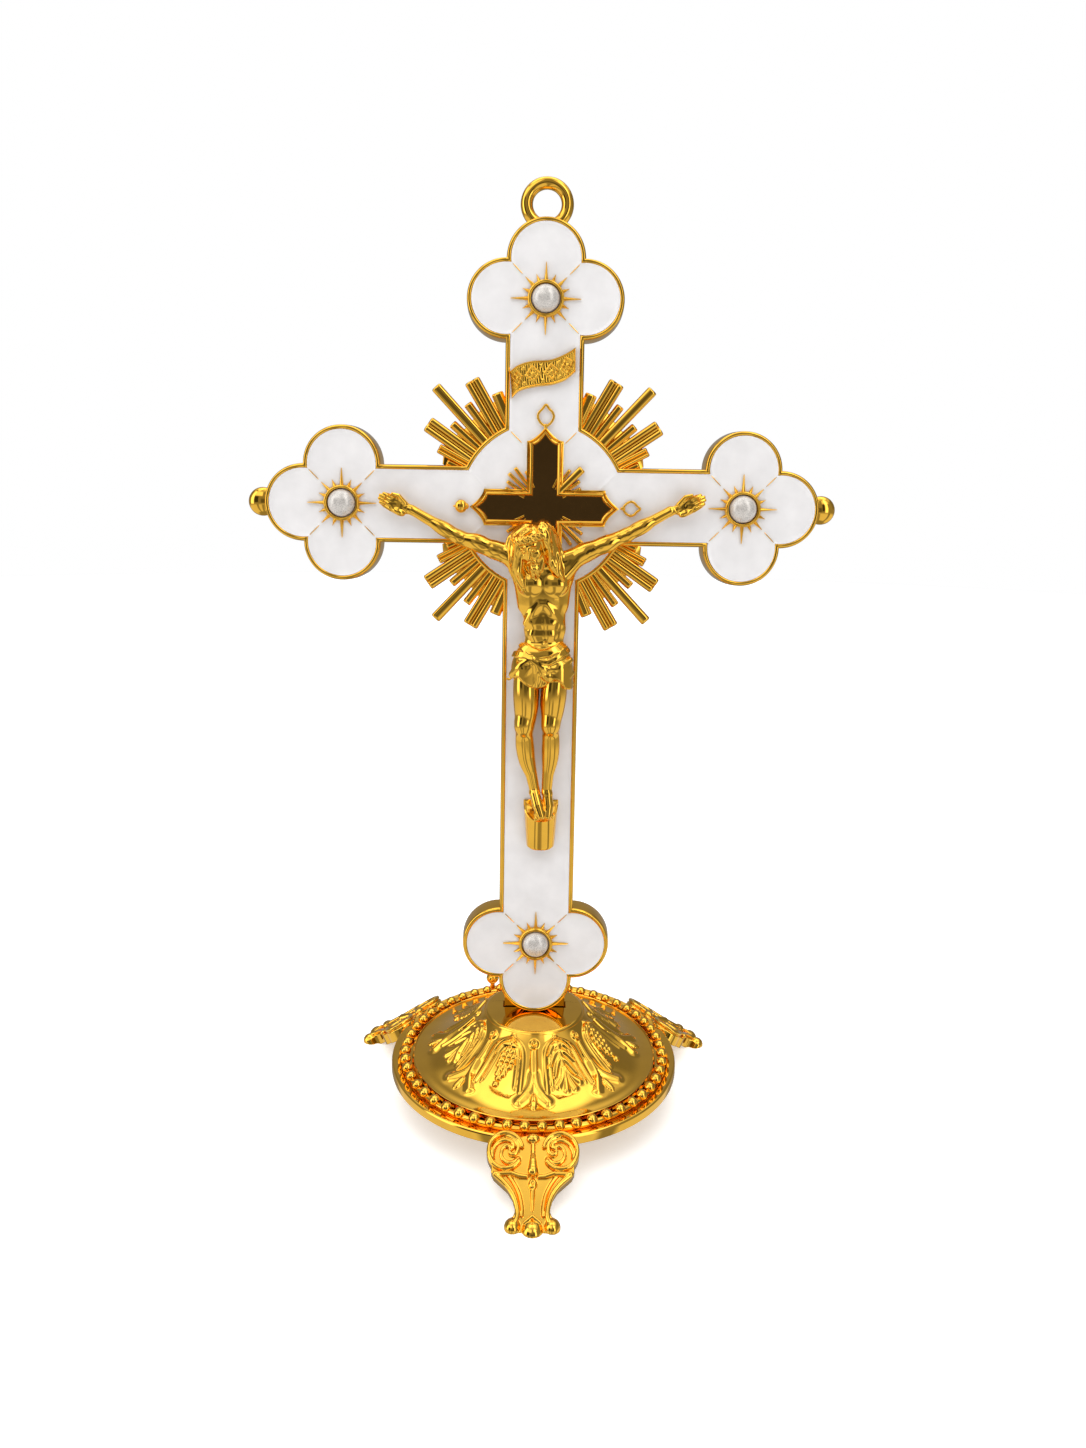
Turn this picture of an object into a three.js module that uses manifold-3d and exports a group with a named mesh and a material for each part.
// Standing altar crucifix: an enamelled budded cross with a figure, sunburst and pearls,
// whose tongue drops into a domed round base on three scroll feet.
// Units are millimetres. +Z is up, +X is the viewer's right and the front faces -Y.
// The origin is the middle of the bounding box's floor.

import * as THREE from 'three';
import { mergeVertices } from 'three/addons/utils/BufferGeometryUtils.js';
import Module from 'manifold-3d';

const wasm = await Module();
wasm.setup();

// ---------------------------------------------------------------- driving dimensions
const BASE_AXIS_Y = 7.9;          // the base's axis, behind the middle of the box
const CROSSING_HEIGHT = 136.7;    // floor to the middle of the crossing
const ARM_TO_PEARL = 43.4;        // crossing to the pearls of the three upper ends
const FOOT_TO_PEARL = 99.6;       // crossing to the bottom pearl
const LOBE_RADIUS = 8.35;         // every lobe, and half the width of shaft and arms
const HALO_RADIUS = 18.6;
const PLATE_THICKNESS = 5.0;
const RIM_WIDTH = 1.1;
const RECESS_DEPTH = 1.0;
const ENAMEL_DROP = 0.25;         // enamel surface below the rim
const FIT_GAP = 0.1;              // clearance between an inlay and its seat
const SEAT_GAP = 0.05;            // clearance under a part that rests on another

const RING_CENTRE_RADIUS = 4.32;
const RING_WIRE_RADIUS = 1.32;
const END_BALL_RADIUS = 3.15;
const END_BALL_HALF_THICKNESS = 1.95;
const END_BALL_DEPTH = -0.4;      // behind the plate's middle
const HALF_SPAN = 64.2;           // crossing to the outside of an end ball

const DISC_TOP = 20.4;
const DISC_RADIUS = 11.3;
const DISC_EDGE = 0.5;            // height of the disc's bevelled edge
const FLARE_POWER = 1.75;         // how sharply the flare hollows in under the disc
const SHELL = 1.2;
const BEAD_RING_RADIUS = 29.9;
const BEAD_RING_HEIGHT = 10.2;
const BEAD_RADIUS = 1.2;
const BEAD_COUNT = 52;
const BEAD_WAIST = 0.62;          // thickness between two beads against their middles
const RIM_RADIUS = 33.0;
const RIM_BOTTOM = 7.9;
const RIM_TOP = 9.5;

const KNOB_ANGLE = THREE.MathUtils.degToRad(110);
const KNOB_REACH = 32.2;
const KNOB_RADIUS = 1.75;
const KNOB_HALF_HEIGHT = 1.5;
const KNOB_CENTRE_HEIGHT = 12.2;
const KNOB_NECK_RADIUS = 0.7;

const FOOT_REACH = 49.4;          // base axis to the toe's front edge on the floor
const FOOT_TILT = THREE.MathUtils.degToRad(34);
const FOOT_THICKNESS = 3.6;

const SOCKET_HALF_WIDTH = 9.2;
const SOCKET_HALF_DEPTH = 5.0;
const SOCKET_HEIGHT = 8.0;
const SLOT_GAP = 0.3;             // clearance of the tongue in its slot

const TONGUE_WIDTH = 14.0;
const TONGUE_THICKNESS = 2.4;
const TONGUE_DEPTH = 10.0;        // how far it drops below the disc
const TONGUE_ROOT = 12.0;         // how far it reaches up behind the bottom lobe

const FRONT = PLATE_THICKNESS / 2;
const BACK = -FRONT;
const RECESS_FLOOR = FRONT - RECESS_DEPTH;
const ENAMEL_TOP = FRONT - ENAMEL_DROP;
const ON_ENAMEL = ENAMEL_TOP + SEAT_GAP;
const ON_RIM = FRONT + SEAT_GAP;

// ---------------------------------------------------------------- materials
const gold = new THREE.MeshStandardMaterial({ color: 0xd9a325, roughness: 0.18, metalness: 1 });
const darkMirror = new THREE.MeshStandardMaterial({ color: 0x2c1a05, roughness: 0.08, metalness: 1 });
const enamel = new THREE.MeshStandardMaterial({ color: 0xf2f1f2, roughness: 0.12, metalness: 0 });
const pearl = new THREE.MeshStandardMaterial({ color: 0xb9b4ad, roughness: 0.3, metalness: 0.1 });

// ---------------------------------------------------------------- solids and booleans
function solid(geometry) {
  const bare = geometry.index ? geometry.clone() : geometry;
  bare.deleteAttribute('normal');
  bare.deleteAttribute('uv');
  const merged = mergeVertices(bare, 1e-5);
  return new wasm.Manifold(new wasm.Mesh({
    numProp: 3,
    vertProperties: new Float32Array(merged.attributes.position.array),
    triVerts: new Uint32Array(merged.index.array),
  }));
}

function geometryOf(manifold) {
  const mesh = manifold.getMesh();
  const geometry = new THREE.BufferGeometry();
  geometry.setAttribute('position', new THREE.BufferAttribute(new Float32Array(mesh.vertProperties), 3));
  geometry.setIndex(new THREE.BufferAttribute(new Uint32Array(mesh.triVerts), 1));
  geometry.computeVertexNormals();
  return geometry;
}

function union(solids) {
  return solids.reduce((all, next) => all.add(next));
}

// A shape in the XY plane made into a plate between two heights on Z.
function plate(shape, zLow, zHigh, curveSegments = 10) {
  const depth = zHigh - zLow;
  const geometry = new THREE.ExtrudeGeometry(shape, { depth, bevelEnabled: false, curveSegments });
  geometry.translate(0, 0, zLow);
  return solid(geometry);
}

function box(x0, x1, y0, y1, z0, z1) {
  const geometry = new THREE.BoxGeometry(x1 - x0, y1 - y0, z1 - z0);
  geometry.translate((x0 + x1) / 2, (y0 + y1) / 2, (z0 + z1) / 2);
  return solid(geometry);
}

// A cylinder standing on Z.
function drum(x, y, radius, zLow, zHigh, sides = 24) {
  const geometry = new THREE.CylinderGeometry(radius, radius, zHigh - zLow, sides);
  geometry.rotateX(Math.PI / 2);
  geometry.translate(x, y, (zLow + zHigh) / 2);
  return solid(geometry);
}

function polygon(points) {
  const shape = new THREE.Shape();
  points.forEach(([x, y], i) => (i ? shape.lineTo(x, y) : shape.moveTo(x, y)));
  shape.closePath();
  return shape;
}

function ellipsoid(x, y, z, rx, ry, rz, roll = 0, across = 10, down = 6) {
  const geometry = new THREE.SphereGeometry(1, across, down);
  geometry.scale(rx, ry, rz);
  geometry.rotateZ(roll);
  geometry.translate(x, y, z);
  return solid(geometry);
}

// A limb between two balls of different size.
function limb([ax, ay, az, ar], [bx, by, bz, br], sides = 6) {
  const from = new THREE.Vector3(ax, ay, az);
  const to = new THREE.Vector3(bx, by, bz);
  const along = to.clone().sub(from);
  const geometry = new THREE.CylinderGeometry(br, ar, along.length(), sides);
  geometry.translate(0, along.length() / 2, 0);
  geometry.applyQuaternion(new THREE.Quaternion().setFromUnitVectors(
    new THREE.Vector3(0, 1, 0), along.clone().normalize()));
  geometry.translate(ax, ay, az);
  const ball = ellipsoid(bx, by, bz, br, br, br, 0, sides, 4);
  return solid(geometry).add(ball);
}

// ---------------------------------------------------------------- assembly helpers
const altarCross = new THREE.Group();
altarCross.name = 'altar_cross';

// The cross is drawn face up in XY with +Z towards the viewer, then stood upright.
const crossGroup = new THREE.Group();
crossGroup.rotation.x = Math.PI / 2;
crossGroup.position.set(0, BASE_AXIS_Y, CROSSING_HEIGHT);
altarCross.add(crossGroup);

const baseGroup = new THREE.Group();
baseGroup.position.y = BASE_AXIS_Y;
altarCross.add(baseGroup);

function addPart(group, name, part, material) {
  const mesh = new THREE.Mesh(geometryOf(part), material);
  mesh.name = name;
  group.add(mesh);
  return mesh;
}

// ---------------------------------------------------------------- the budded outline
const ENDS = [
  { name: 'top', x: 0, y: ARM_TO_PEARL },
  { name: 'left', x: -ARM_TO_PEARL, y: 0 },
  { name: 'right', x: ARM_TO_PEARL, y: 0 },
  { name: 'bottom', x: 0, y: -FOOT_TO_PEARL },
];

// The whole outline between two heights, drawn in by `inset` all round.
function outline(inset, zLow, zHigh) {
  const half = LOBE_RADIUS - inset;
  const parts = [
    box(-half, half, -FOOT_TO_PEARL, ARM_TO_PEARL, zLow, zHigh),
    box(-ARM_TO_PEARL, ARM_TO_PEARL, -half, half, zLow, zHigh),
    drum(0, 0, HALO_RADIUS - inset, zLow, zHigh, 48),
  ];
  const middle = LOBE_RADIUS - inset * Math.SQRT1_2;
  for (const end of ENDS) {
    parts.push(box(end.x - middle, end.x + middle, end.y - middle, end.y + middle, zLow, zHigh));
    for (const [dx, dy] of [[1, 0], [-1, 0], [0, 1], [0, -1]]) {
      const x = end.x + dx * LOBE_RADIUS;
      const y = end.y + dy * LOBE_RADIUS;
      parts.push(drum(x, y, half, zLow, zHigh));
    }
  }
  return union(parts);
}

// ---------------------------------------------------------------- pins, tongue and plate
const PIN_RADIUS = 0.8;
const PIN_HEAD_RADIUS = 1.6;
const PIN_HEAD = 0.6;
const PIN_TIP = FRONT + 1.3;
const PINS = [
  { name: 'corpus_pin_left', x: -31.6, y: 0.5 },
  { name: 'corpus_pin_right', x: 31.6, y: 0.9 },
  { name: 'corpus_pin_foot', x: 0.7, y: -71.5 },
];

function pinHoles(z0, z1) {
  return union(PINS.map((pin) => drum(pin.x, pin.y, PIN_RADIUS + FIT_GAP, z0, z1, 10)));
}

function pinHeadSeats() {
  return union(PINS.map((pin) => drum(pin.x, pin.y, PIN_HEAD_RADIUS + FIT_GAP,
    BACK - 1, BACK + PIN_HEAD + FIT_GAP, 12)));
}

const lobeBottom = -FOOT_TO_PEARL - 2 * LOBE_RADIUS;
const tongueTop = lobeBottom + TONGUE_ROOT;
const tongueBack = BACK + SEAT_GAP;
const tongueFront = tongueBack + TONGUE_THICKNESS;

function buildPlate() {
  const half = TONGUE_WIDTH / 2 + FIT_GAP;
  const pocket = box(-half, half, lobeBottom - 1, tongueTop + FIT_GAP, BACK - 1, tongueFront + FIT_GAP);
  const recess = outline(RIM_WIDTH, RECESS_FLOOR, FRONT + 1);
  const casting = outline(0, BACK, FRONT).subtract(recess).subtract(pocket);
  addPart(crossGroup, 'cross_plate',
    casting.subtract(pinHoles(BACK - 1, FRONT)).subtract(pinHeadSeats()), gold);

  const tongue = box(-TONGUE_WIDTH / 2, TONGUE_WIDTH / 2, lobeBottom - TONGUE_DEPTH, tongueTop,
    tongueBack, tongueFront);
  addPart(crossGroup, 'cross_tongue', tongue, gold);

  for (const pin of PINS) {
    const head = drum(pin.x, pin.y, PIN_HEAD_RADIUS, BACK, BACK + PIN_HEAD, 12);
    const shank = drum(pin.x, pin.y, PIN_RADIUS, BACK + PIN_HEAD / 2, PIN_TIP, 10);
    addPart(crossGroup, pin.name, head.add(shank), gold);
  }
}

// ---------------------------------------------------------------- enamel fields
// Eight fields: four along the arms, ending in points at the crossing, and four in the halo.
function buildEnamel() {
  const sheet = outline(RIM_WIDTH + FIT_GAP, RECESS_FLOOR + SEAT_GAP, ENAMEL_TOP)
    .subtract(pinHoles(0, FRONT + 1));
  const cut = LOBE_RADIUS - RIM_WIDTH;
  const corner = Math.sqrt((HALO_RADIUS - RIM_WIDTH) ** 2 - cut ** 2);
  const point = corner - cut;
  const far = FOOT_TO_PEARL + 4 * LOBE_RADIUS;
  const half = FIT_GAP / 2;
  const lobes = 3 * LOBE_RADIUS;

  // An arm's cutter points along +Y; the quadrant's lies between +X and +Y.
  const armShape = polygon([
    [0, point + 2 * half],
    [cut, corner + 2 * half],
    [cut, ARM_TO_PEARL - lobes / 2],
    [lobes, ARM_TO_PEARL - lobes],
    [lobes, far],
    [-lobes, far],
    [-lobes, ARM_TO_PEARL - lobes],
    [-cut, ARM_TO_PEARL - lobes / 2],
    [-cut, corner + 2 * half],
  ]);
  const quadrantShape = polygon([
    [half, half],
    [half, point - half],
    [cut + half, corner],
    [cut + half, lobes],
    [lobes, lobes],
    [lobes, cut + half],
    [corner, cut + half],
    [point - half, half],
  ]);

  const arms = [['top', 0], ['left', 90], ['bottom', 180], ['right', 270]];
  for (const [name, turn] of arms) {
    const cutter = plate(armShape, 0, 5).rotate([0, 0, turn]);
    addPart(crossGroup, `enamel_${name}`, sheet.intersect(cutter), enamel);
  }
  const quadrants = [['upper_right', 0], ['upper_left', 90], ['lower_left', 180], ['lower_right', 270]];
  for (const [name, turn] of quadrants) {
    const cutter = plate(quadrantShape, 0, 5).rotate([0, 0, turn]);
    addPart(crossGroup, `enamel_halo_${name}`, sheet.intersect(cutter), enamel);
  }
}

// ---------------------------------------------------------------- sunburst
// Fluted bars between the arms, given as angle from the side arm, reach and width.
const RAYS = [
  [23.5, 22.6, 1.5], [28.0, 25.5, 1.9], [34.5, 30.4, 3.3], [41.2, 26.3, 1.9],
  [47.0, 34.3, 2.2], [52.6, 27.2, 1.9], [59.5, 30.8, 3.3], [67.0, 26.1, 2.6],
];
const RAY_BACK = -1.6;
const RAY_FRONT = 1.2;

const RAY_CHAMFER = 0.5;

// The thin web that joins the bars along the halo.
const WEB = [[0, 0], [24, 9.2], [22.4, 13.4], [16.9, 16.9], [13.4, 22.4], [9.2, 24]];
const WEB_THICKNESS = 1.4;

function rayBar(angle, reach, width) {
  const start = HALO_RADIUS - RAY_CHAMFER;
  const bevel = RAY_CHAMFER;
  const shape = polygon([[start, -width / 2], [reach - bevel, -width / 2], [reach, -width / 2 + bevel],
    [reach, width / 2 - bevel], [reach - bevel, width / 2], [start, width / 2]]);
  return plate(shape, RAY_BACK, RAY_FRONT).rotate([0, 0, angle]);
}

function buildSunburst() {
  const web = plate(polygon(WEB), RAY_BACK, RAY_BACK + WEB_THICKNESS);
  const bars = union([web, ...RAYS.map(([angle, reach, width]) => rayBar(angle, reach, width))]);
  const clear = outline(-FIT_GAP, BACK - 1, FRONT + 1);
  const names = ['upper_right', 'upper_left', 'lower_left', 'lower_right'];
  names.forEach((name, i) => {
    let cluster = bars;
    if (i === 1 || i === 2) cluster = cluster.mirror([1, 0, 0]);
    if (i >= 2) cluster = cluster.mirror([0, 1, 0]);
    addPart(crossGroup, `sun_rays_${name}`, cluster.subtract(clear), gold);
  });
}

// ---------------------------------------------------------------- pearls in sun bezels
const PEARL_RADIUS = 3.05;
const PEARL_GIRDLE = 0.5;
const PEARL_DOME = 2.3;
const BEZEL_HOLE = PEARL_RADIUS + FIT_GAP;
const BEZEL_RADIUS = 3.9;
const BEZEL_HEIGHT = 0.9;
// Reach of the spikes round a quarter of the bezel: cardinal, short, diagonal, short.
const SPIKE_REACH = [7.5, 5.35, 6.2, 5.35];
const SPIKES = 4 * SPIKE_REACH.length;
const SPIKE_HALF_BASE = 0.12;     // radians at the bezel's edge
const SPIKE_HALF_TIP = 0.02;      // radians at the spike's tip

function bezelShape() {
  const points = [];
  for (let i = 0; i < SPIKES; i += 1) {
    const tip = SPIKE_REACH[i % SPIKE_REACH.length];
    const angle = (i / SPIKES) * 2 * Math.PI;
    const corners = [
      [angle - SPIKE_HALF_BASE, BEZEL_RADIUS],
      [angle - SPIKE_HALF_TIP, tip],
      [angle + SPIKE_HALF_TIP, tip],
      [angle + SPIKE_HALF_BASE, BEZEL_RADIUS],
    ];
    corners.forEach(([turn, radius]) => {
      points.push([radius * Math.cos(turn), radius * Math.sin(turn)]);
    });
  }
  const shape = polygon(points);
  const hole = new THREE.Path();
  hole.absarc(0, 0, BEZEL_HOLE, 0, 2 * Math.PI, true);
  shape.holes.push(hole);
  return shape;
}

function pearlGeometry() {
  const profile = [new THREE.Vector2(0, 0), new THREE.Vector2(PEARL_RADIUS, 0)];
  const steps = 4;
  for (let i = 0; i < steps; i += 1) {
    const angle = (i / steps) * (Math.PI / 2);
    const height = PEARL_GIRDLE + PEARL_DOME * Math.sin(angle);
    profile.push(new THREE.Vector2(PEARL_RADIUS * Math.cos(angle), height));
  }
  profile.push(new THREE.Vector2(0, PEARL_GIRDLE + PEARL_DOME));
  const geometry = new THREE.LatheGeometry(profile, 16);
  geometry.rotateX(Math.PI / 2);
  return geometry;
}

function buildPearls() {
  for (const end of ENDS) {
    const bezel = plate(bezelShape(), ON_ENAMEL, ON_ENAMEL + BEZEL_HEIGHT, 8);
    addPart(crossGroup, `sun_bezel_${end.name}`, bezel, gold).position.set(end.x, end.y, 0);
    const stone = solid(pearlGeometry());
    addPart(crossGroup, `pearl_${end.name}`, stone, pearl).position.set(end.x, end.y, ON_ENAMEL);
  }
}

// ---------------------------------------------------------------- title banner
const BANNER_THICKNESS = 1.1;

function buildBanner() {
  const shape = new THREE.Shape();
  shape.moveTo(-7.4, 28.4);
  shape.bezierCurveTo(-4, 32.2, 2.5, 29.4, 6.6, 33.6);
  shape.lineTo(6.8, 28.6);
  shape.bezierCurveTo(2.5, 24.6, -3, 27.2, -6.4, 23.2);
  shape.lineTo(-7.2, 24.2);
  shape.closePath();
  addPart(crossGroup, 'title_banner', plate(shape, ON_RIM, ON_RIM + BANNER_THICKNESS), gold);
}

// ---------------------------------------------------------------- small centre cross
const CENTRE_X = 0.4;             // it sits slightly off the crossing
const CENTRE_Y = -0.4;
const CENTRE_HALF_BORDER = 3.95;
const CENTRE_HALF_FIELD = 2.5;
const CENTRE_SIDE_TIP = 16.2;     // reaches from its own centre
const CENTRE_TOP_TIP = 17.4;
const CENTRE_LOWER_END = -9.1;
const OGEE_LENGTH = 3.1;

// Arms with ogee ends; `inset` draws the outline in.
function centreCrossShape(inset) {
  const half = CENTRE_HALF_BORDER - inset;
  const shoulder = (tip) => tip - OGEE_LENGTH - inset * 0.6;
  const point = (tip) => tip - inset * 1.2;
  const shape = new THREE.Shape();
  const armEnd = (tip, turn) => {
    const at = (along, across) => {
      const c = Math.cos(turn);
      const s = Math.sin(turn);
      return [along * c - across * s + CENTRE_X, along * s + across * c + CENTRE_Y];
    };
    shape.lineTo(...at(half, -half));
    shape.lineTo(...at(shoulder(tip), -half));
    shape.quadraticCurveTo(...at(shoulder(tip) + 0.4, -half * 0.3), ...at(point(tip), 0));
    shape.quadraticCurveTo(...at(shoulder(tip) + 0.4, half * 0.3), ...at(shoulder(tip), half));
    shape.lineTo(...at(half, half));
  };
  const lowerEnd = CENTRE_Y + CENTRE_LOWER_END + inset;
  shape.moveTo(CENTRE_X + half, CENTRE_Y - half);
  armEnd(CENTRE_SIDE_TIP, 0);
  armEnd(CENTRE_TOP_TIP, Math.PI / 2);
  armEnd(CENTRE_SIDE_TIP, Math.PI);
  shape.lineTo(CENTRE_X - half, lowerEnd);
  shape.lineTo(CENTRE_X + half, lowerEnd);
  shape.closePath();
  return shape;
}

const FRAME_TOP = ON_ENAMEL + 1.4;
const FIELD_TOP = ON_ENAMEL + 1.0;
const LOOP_WIRE = 0.6;
const LOOP_HEIGHT = 0.7;

// Open wire loops beyond the tips of the small cross.
function loop(x, y, width, height) {
  const outer = new THREE.Shape();
  outer.absellipse(x, y, width / 2, height / 2, 0, 2 * Math.PI);
  const hole = new THREE.Path();
  hole.absellipse(x, y, width / 2 - LOOP_WIRE, height / 2 - LOOP_WIRE, 0, 2 * Math.PI, true);
  outer.holes.push(hole);
  return plate(outer, ON_ENAMEL, ON_ENAMEL + LOOP_HEIGHT);
}

// Bars of the small sunburst in one corner: angle, reach from the crossing and width.
const INNER_RAYS = [[28, 9.6, 1.0], [36, 10.1, 1.0], [44.5, 11.7, 1.7], [54, 10.2, 1.0], [62, 9.4, 1.0]];
const INNER_RAY_ROOT = 3;
const INNER_RAY_HEIGHT = 0.9;

// The thin web under these bars.
const INNER_WEB = [[3, 3], [7.9, 4.4], [5.9, 5.9], [4.4, 7.9]];
const INNER_WEB_THICKNESS = 0.45;

function buildCentreCross() {
  const borderInset = CENTRE_HALF_BORDER - CENTRE_HALF_FIELD;
  const above = ON_ENAMEL + 5;
  const frame = plate(centreCrossShape(0), ON_ENAMEL, FRAME_TOP, 5)
    .subtract(plate(centreCrossShape(borderInset), 0, above, 5));
  addPart(crossGroup, 'centre_cross_frame', frame, gold);
  addPart(crossGroup, 'centre_cross_field',
    plate(centreCrossShape(borderInset + FIT_GAP), ON_ENAMEL, FIELD_TOP, 5), darkMirror);

  addPart(crossGroup, 'finial_top', loop(CENTRE_X, 19.2, 3.8, 4.2), gold);
  addPart(crossGroup, 'finial_right', loop(19.2, -0.2, 3.6, 3.4), gold);
  const bud = ellipsoid(-17.7, -0.3, ON_ENAMEL, 1.6, 1.5, 1.3);
  const belowEnamel = box(-25, 0, -5, 5, -5, ON_ENAMEL);
  const besideTip = plate(centreCrossShape(-FIT_GAP), 0, above, 5);
  addPart(crossGroup, 'finial_left', bud.subtract(belowEnamel).subtract(besideTip), gold);

  const bars = INNER_RAYS.map(([angle, reach, width]) => {
    const edge = width / 2;
    const shape = polygon([[INNER_RAY_ROOT, -edge], [reach, -edge], [reach, edge], [INNER_RAY_ROOT, edge]]);
    return plate(shape, ON_ENAMEL, ON_ENAMEL + INNER_RAY_HEIGHT).rotate([0, 0, angle]);
  });
  const fan = union([plate(polygon(INNER_WEB), ON_ENAMEL, ON_ENAMEL + INNER_WEB_THICKNESS), ...bars]);
  const names = ['upper_right', 'upper_left', 'lower_left', 'lower_right'];
  names.forEach((name, i) => {
    let cluster = fan;
    if (i === 1 || i === 2) cluster = cluster.mirror([1, 0, 0]);
    if (i >= 2) cluster = cluster.mirror([0, 1, 0]);
    addPart(crossGroup, `inner_rays_${name}`, cluster.subtract(besideTip), gold);
  });
}

// ---------------------------------------------------------------- figure and foot rest
const REST_X = 0.7;
const REST_TOP = -65.4;
const REST_BOTTOM = -76.2;
const REST_WIDTH = 7.6;
const REST_DEPTH = 4.6;
const PIN_END_GAP = 0.2;

function footRest() {
  const side = new THREE.Shape();
  side.moveTo(ON_ENAMEL, REST_TOP);
  side.lineTo(FRONT + REST_DEPTH, REST_TOP - 2.6);
  side.lineTo(FRONT + REST_DEPTH * 0.65, REST_BOTTOM);
  side.lineTo(ON_ENAMEL, REST_BOTTOM);
  side.closePath();
  const geometry = new THREE.ExtrudeGeometry(side, { depth: REST_WIDTH, bevelEnabled: false });
  geometry.translate(0, 0, -REST_WIDTH / 2);
  geometry.rotateY(-Math.PI / 2);
  geometry.translate(REST_X, 0, 0);
  return solid(geometry).subtract(pinHoles(0, PIN_TIP + PIN_END_GAP));
}

function buildFigure() {
  // Each joint: x, y, distance in front of the plate's middle, and radius.
  const arm = (side) => union([
    limb([side * 4.5, -11.6, 5.2, 2.3], [side * 9.0, -10.0, 4.7, 1.9]),
    limb([side * 9.0, -10.0, 4.7, 1.9], [side * 18.1, -6.4, 4.1, 1.55]),
    limb([side * 18.1, -6.4, 4.1, 1.55], [side * 28.0, -0.9, 4.0, 1.15]),
    ellipsoid(side * 31.9, 0.5, 4.1, 3.6, 2.6, 1.5, side * 0.3),
  ]);
  const leg = (hip, knee, ankle) => union([
    limb(hip, knee),
    limb(knee, ankle),
  ]);
  const body = union([
    ellipsoid(0.3, -15.2, 5.2, 6.9, 6.6, 3.5),
    ellipsoid(1.0, -24.5, 5.0, 5.0, 7.6, 2.8),
    ellipsoid(0.5, -33.8, 5.2, 6.5, 6.4, 3.6),
    arm(-1),
    arm(1),
    limb([0.2, -12.5, 5.6, 2.3], [-1.2, -10.2, 6.3, 2.2]),
    ellipsoid(-2.2, -8.9, 7.4, 3.7, 5.5, 3.9, 0.2),
    ellipsoid(-1.8, -9.6, 5.9, 4.9, 6.0, 3.0, 0.2),
    leg([-3.0, -38.0, 5.3, 3.3], [-3.6, -48.3, 6.2, 2.4], [-0.6, -63.0, 5.9, 1.35]),
    leg([3.6, -38.0, 5.3, 3.3], [2.5, -48.2, 6.0, 2.4], [2.0, -63.0, 6.8, 1.35]),
    limb([0.4, -62.5, 6.6, 1.8], [0.5, -67.8, 8.2, 1.6]),
  ]);
  const behind = box(-60, 60, -90, 30, -5, ON_RIM);
  const centre = plate(centreCrossShape(-FIT_GAP), 0, FRAME_TOP + FIT_GAP, 5);
  const fans = drum(0, 0, 12, 0, ON_ENAMEL + INNER_RAY_HEIGHT + FIT_GAP);
  const restHalf = REST_WIDTH / 2 + FIT_GAP;
  const restRoom = box(REST_X - restHalf, REST_X + restHalf, REST_BOTTOM - 1, REST_TOP + FIT_GAP,
    0, FRONT + REST_DEPTH + FIT_GAP);
  const figure = body.subtract(behind)
    .subtract(centre)
    .subtract(fans)
    .subtract(restRoom)
    .subtract(pinHoles(0, PIN_TIP + PIN_END_GAP));
  addPart(crossGroup, 'corpus', figure, gold);
  addPart(crossGroup, 'foot_rest', footRest(), gold);
}

// ---------------------------------------------------------------- ring and end balls
function buildEnds() {
  const clear = outline(-FIT_GAP, BACK - 1, FRONT + 1);
  const ring = new THREE.TorusGeometry(RING_CENTRE_RADIUS, RING_WIRE_RADIUS, 8, 28);
  const ringY = ARM_TO_PEARL + 2 * LOBE_RADIUS + RING_CENTRE_RADIUS - RING_WIRE_RADIUS - 0.1;
  ring.translate(0, ringY, 0);
  addPart(crossGroup, 'hanging_ring', solid(ring).subtract(clear), gold);
  for (const [name, side] of [['left', -1], ['right', 1]]) {
    const centre = side * (HALF_SPAN - END_BALL_RADIUS);
    const ball = ellipsoid(centre, 0, END_BALL_DEPTH,
      END_BALL_RADIUS, END_BALL_RADIUS, END_BALL_HALF_THICKNESS, 0, 16, 8);
    addPart(crossGroup, `end_ball_${name}`, ball.subtract(clear), gold);
  }
}

// ---------------------------------------------------------------- base
function lathe(points, segments) {
  const closed = [...points, points[0]].map(([r, z]) => new THREE.Vector2(r, z));
  const geometry = new THREE.LatheGeometry(closed, segments);
  geometry.rotateX(Math.PI / 2);
  return solid(geometry);
}

function tongueSlot(gap, z0, z1) {
  const half = TONGUE_WIDTH / 2 + gap;
  return box(-half, half, -tongueFront - gap, -tongueBack + gap, z0, z1);
}

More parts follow.
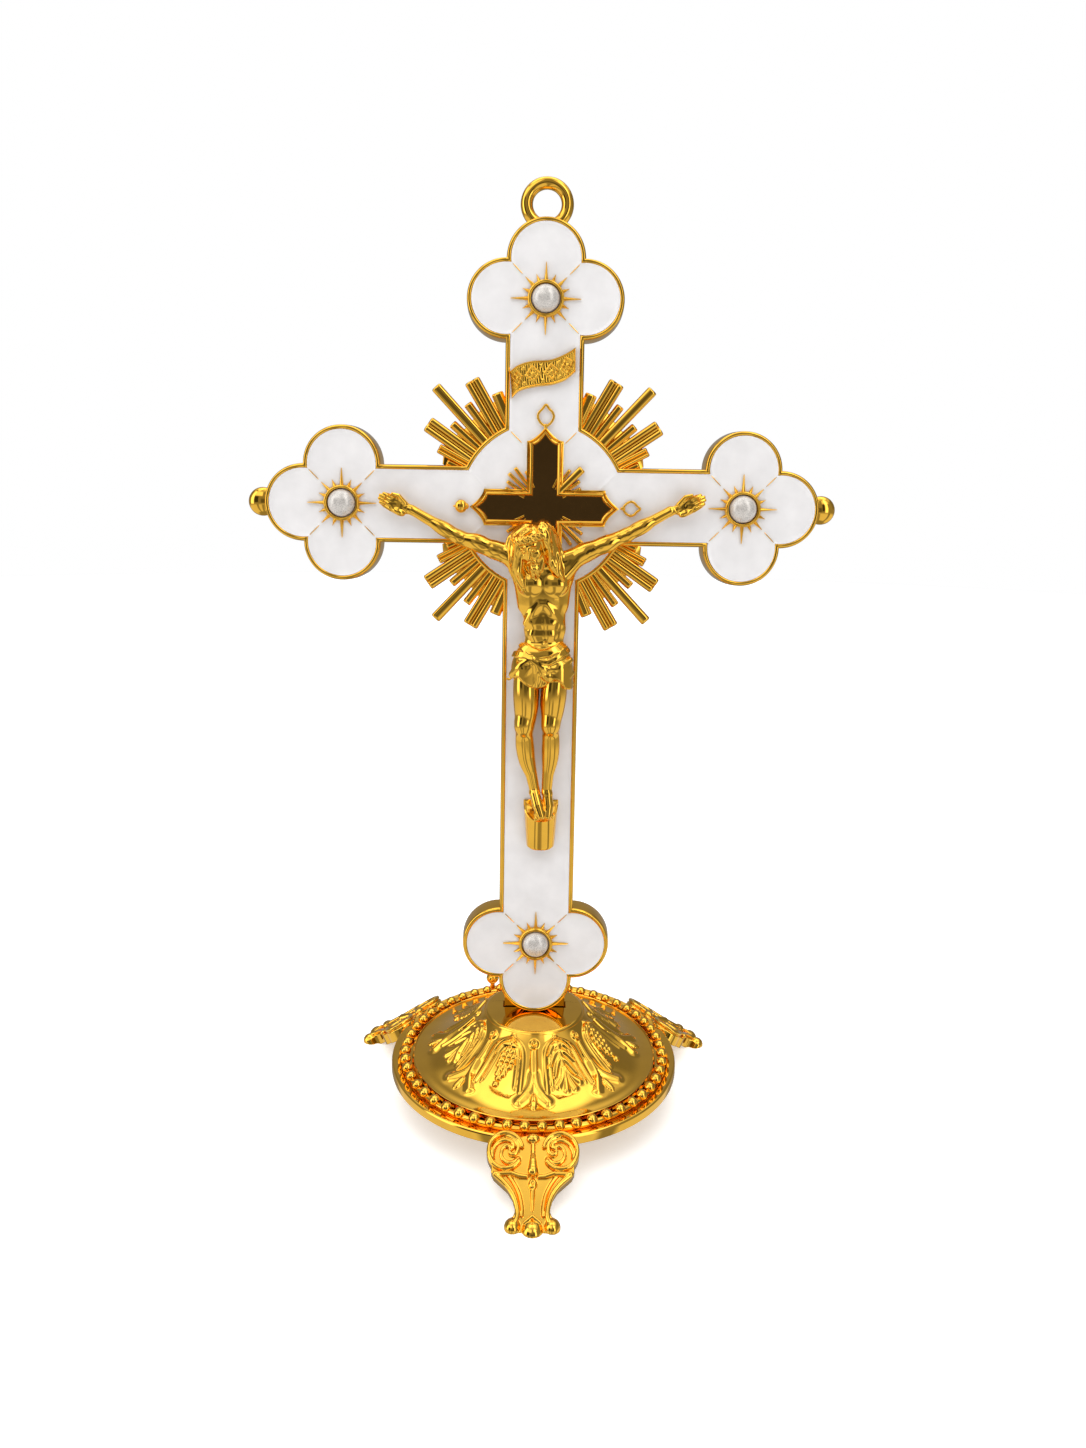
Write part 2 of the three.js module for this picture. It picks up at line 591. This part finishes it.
function buildBase() {
  // A trumpet flare from the disc down to the bead channel.
  const flare = [];
  const steps = 6;
  const flareRadius = 27.7;
  const flareHeight = 10.1;
  for (let i = 0; i <= steps; i += 1) {
    const t = i / steps;
    flare.push([DISC_RADIUS + 0.4 + (flareRadius - DISC_RADIUS - 0.4) * t,
      flareHeight + (DISC_TOP - DISC_EDGE - flareHeight) * (1 - t) ** FLARE_POWER]);
  }
  const inside = flare.map(([r, z]) => [r - 0.5, z - SHELL]);
  const outside = flare.slice().reverse();
  const underside = DISC_TOP - DISC_EDGE - SHELL;
  const profile = [[0, underside], ...inside, ...outside, [DISC_RADIUS, DISC_TOP], [0, DISC_TOP]];
  const geometry = new THREE.LatheGeometry(profile.map(([r, z]) => new THREE.Vector2(r, z)), 48);
  geometry.rotateX(Math.PI / 2);
  const slot = tongueSlot(SLOT_GAP, 0, DISC_TOP + 1);
  addPart(baseGroup, 'base_dome', solid(geometry).subtract(slot), gold);

  const socketTop = underside - SEAT_GAP;
  const socketMiddle = 0.6;
  const socket = box(-SOCKET_HALF_WIDTH, SOCKET_HALF_WIDTH, socketMiddle - SOCKET_HALF_DEPTH,
    socketMiddle + SOCKET_HALF_DEPTH, socketTop - SOCKET_HEIGHT, socketTop);
  addPart(baseGroup, 'tongue_socket', socket.subtract(slot), gold);

  const channel = BEAD_RING_HEIGHT - BEAD_RADIUS - FIT_GAP;
  const ledge = flareHeight - SHELL - FIT_GAP;
  const rimInside = flareRadius - 1.9;
  addPart(baseGroup, 'base_rim', lathe([
    [rimInside, RIM_BOTTOM],
    [RIM_RADIUS, RIM_BOTTOM],
    [RIM_RADIUS, RIM_TOP - 0.4],
    [RIM_RADIUS - 0.4, RIM_TOP],
    [RIM_RADIUS - 2.0, channel + 0.3],
    [RIM_RADIUS - 2.3, channel],
    [flareRadius + 0.3, channel],
    [flareRadius + 0.1, ledge],
    [rimInside, ledge],
  ], 48), gold);

  const beads = new THREE.TorusGeometry(BEAD_RING_RADIUS, BEAD_RADIUS, 5, BEAD_COUNT * 3);
  const position = beads.attributes.position;
  for (let i = 0; i < position.count; i += 1) {
    const x = position.getX(i);
    const y = position.getY(i);
    const angle = Math.atan2(y, x);
    const swell = BEAD_WAIST + (1 - BEAD_WAIST) * Math.abs(Math.cos((angle * BEAD_COUNT) / 2));
    const radius = BEAD_RING_RADIUS + (Math.hypot(x, y) - BEAD_RING_RADIUS) * swell;
    position.setXYZ(i, radius * Math.cos(angle), radius * Math.sin(angle), position.getZ(i) * swell);
  }
  beads.translate(0, 0, BEAD_RING_HEIGHT);
  addPart(baseGroup, 'bead_ring', solid(beads), gold);

  const knobX = KNOB_REACH * Math.cos(KNOB_ANGLE);
  const knobY = KNOB_REACH * Math.sin(KNOB_ANGLE);
  const knob = union([
    ellipsoid(knobX, knobY, KNOB_CENTRE_HEIGHT, KNOB_RADIUS, KNOB_RADIUS, KNOB_HALF_HEIGHT),
    limb([knobX, knobY, RIM_TOP, KNOB_NECK_RADIUS],
      [knobX, knobY, KNOB_CENTRE_HEIGHT, KNOB_NECK_RADIUS]),
  ]);
  addPart(baseGroup, 'rear_rim_knob', knob, gold);
}

// ---------------------------------------------------------------- feet
// The foot's face is drawn in XY with its toe at the bottom, then leaned back onto the rim.
function footFace() {
  const left = [[3.6, 4.9], [4.2, 7.7], [6.2, 10.3], [7.7, 11.8], [8.6, 13.5]];
  const shape = new THREE.Shape();
  shape.moveTo(-1.5, 0.7);
  shape.absarc(0, 2.2, 2.15, Math.PI * 1.25, Math.PI * 1.75, false);
  shape.absarc(3.8, 2.9, 1.6, -Math.PI * 0.6, Math.PI * 0.45, false);
  left.forEach(([u, v]) => shape.lineTo(u, v));
  shape.absarc(5.3, 16.6, 3.9, -0.5, Math.PI * 0.85, false);
  shape.lineTo(0, 18.4);
  shape.absarc(-5.3, 16.6, 3.9, Math.PI * 0.15, Math.PI + 0.5, false);
  left.slice().reverse().forEach(([u, v]) => shape.lineTo(-u, v));
  shape.absarc(-3.8, 2.9, 1.6, Math.PI * 0.55, Math.PI * 1.6, false);
  shape.closePath();
  return shape;
}

function buildFeet() {
  const bevel = 0.9;
  const face = new THREE.ExtrudeGeometry(footFace(), {
    depth: FOOT_THICKNESS - 2 * bevel,
    bevelThickness: bevel,
    bevelSize: bevel,
    bevelOffset: -bevel,
    bevelSegments: 1,
    curveSegments: 5,
  });
  face.translate(0, 0, bevel - FOOT_THICKNESS);
  face.rotateX(FOOT_TILT);
  face.translate(0, -FOOT_REACH, 0);
  const floor = box(-30, 30, -70, 0, -20, 0);
  const rimRoom = drum(0, 0, RIM_RADIUS + 0.3, 0, RIM_TOP + 0.3, 48);
  const foot = solid(face).subtract(floor).subtract(rimRoom);
  for (const [name, turn] of [['front', 0], ['right', 120], ['left', 240]]) {
    addPart(baseGroup, `foot_${name}`, foot.rotate([0, 0, turn]), gold);
  }
}

buildPlate();
buildEnamel();
buildSunburst();
buildPearls();
buildBanner();
buildCentreCross();
buildFigure();
buildEnds();
buildBase();
buildFeet();

export default altarCross;
